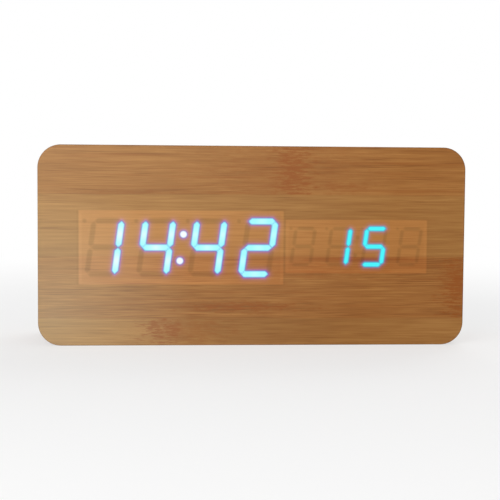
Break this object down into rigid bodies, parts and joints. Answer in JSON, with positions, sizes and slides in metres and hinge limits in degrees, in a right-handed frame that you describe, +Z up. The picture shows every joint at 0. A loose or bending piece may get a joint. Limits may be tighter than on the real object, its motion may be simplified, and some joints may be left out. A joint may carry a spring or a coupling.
{
  "type": "digital alarm clock",
  "caption": "Bamboo-veneered block clock with round corners, LED time and temperature digits glowing through the face, and a moulded back with buttons, power socket and battery door.",
  "frame": {"origin": "centre of the flat base, on the surface that the clock stands on", "axes": "+X to the right as seen from the front, +Y from the front face to the back, +Z up"},
  "size_m": [0.15, 0.04, 0.07],
  "materials": {
    "bamboo_veneer": "satin",
    "fibreboard": "matt",
    "black_plastic": "fine spark texture",
    "button_plastic": "satin",
    "plunger_plastic": "satin",
    "switch_plastic": "matt",
    "zinc_steel": "bright zinc",
    "nickel_steel": "nickel plate",
    "cell_can": "printed sleeve",
    "bright_can": "bright",
    "red_insulation": "satin",
    "black_insulation": "satin",
    "grey_insulation": "satin",
    "green_laminate": "solder mask",
    "brass_pin": "bright",
    "thermistor_resin": "glossy dip",
    "module_plastic": "matt",
    "lit_resin": "diffusing, lit from behind",
    "dark_resin": "diffusing, not lit",
    "led_resin": "clear over phosphor",
    "chip_plastic": "moulded matt",
    "capacitor_sleeve": "shrunk sleeve",
    "connector_plastic": "satin"
  },
  "bodies": {
    "case": {"front_veneer": "bamboo_veneer", "side_veneer": "bamboo_veneer", "rear_veneer": "bamboo_veneer", "front_board": "fibreboard", "case_ring": "fibreboard", "rear_panel": "black_plastic", "dc_jack": "black_plastic", "buzzer": "black_plastic", "coin_cell_holder": "black_plastic", "set_switch": "switch_plastic", "up_switch": "switch_plastic", "down_switch": "switch_plastic", "rear_screw_1": "zinc_steel", "rear_screw_2": "zinc_steel", "rear_screw_3": "zinc_steel", "rear_screw_4": "zinc_steel", "rear_board_screws": "zinc_steel", "main_board_screws": "zinc_steel", "battery_contacts": "nickel_steel", "battery_springs": "nickel_steel", "time_pins": "nickel_steel", "temp_pins": "nickel_steel", "chip_leads": "nickel_steel", "aaa_cell_1": "cell_can", "aaa_cell_2": "cell_can", "aaa_cell_3": "cell_can", "aaa_cell_4": "cell_can", "coin_cell": "bright_can", "crystal": "bright_can", "microphone": "bright_can", "battery_lead_red": "red_insulation", "battery_lead_black": "black_insulation", "board_ribbon": "grey_insulation", "rear_board": "green_laminate", "main_board": "green_laminate", "time_base": "green_laminate", "temp_base": "green_laminate", "dc_jack_pin": "brass_pin", "thermistor": "thermistor_resin", "time_housing": "module_plastic", "temp_housing": "module_plastic", "time_lit_bars": "lit_resin", "temp_lit_bars": "lit_resin", "time_dark_bars": "dark_resin", "temp_dark_bars": "dark_resin", "time_leds": "led_resin", "temp_leds": "led_resin", "controller_chip": "chip_plastic", "clock_chip": "chip_plastic", "resistors": "chip_plastic", "capacitors": "capacitor_sleeve", "battery_connector": "connector_plastic"},
    "battery_door": {"battery_door": "black_plastic"},
    "set_button": {"set_button": "button_plastic", "set_plunger": "plunger_plastic"},
    "up_button": {"up_button": "button_plastic", "up_plunger": "plunger_plastic"},
    "down_button": {"down_button": "button_plastic", "down_plunger": "plunger_plastic"}
  },
  "joints": [
    {"name": "door_swing", "type": "hinge", "parent": "case", "child": "battery_door", "pos_m": [0.0582, 0.0178, 0.035], "axis": [0, 0, -1], "range_deg": [0, 90]},
    {"name": "set_press", "type": "slide", "parent": "case", "child": "set_button", "axis": [0, -1, 0], "range_m": [0, 0.0005], "stiffness_N_per_m": 800, "springref_m": -0.0005},
    {"name": "up_press", "type": "slide", "parent": "case", "child": "up_button", "axis": [0, -1, 0], "range_m": [0, 0.0005], "stiffness_N_per_m": 800, "springref_m": -0.0005},
    {"name": "down_press", "type": "slide", "parent": "case", "child": "down_button", "axis": [0, -1, 0], "range_m": [0, 0.0005], "stiffness_N_per_m": 800, "springref_m": -0.0005}
  ]
}
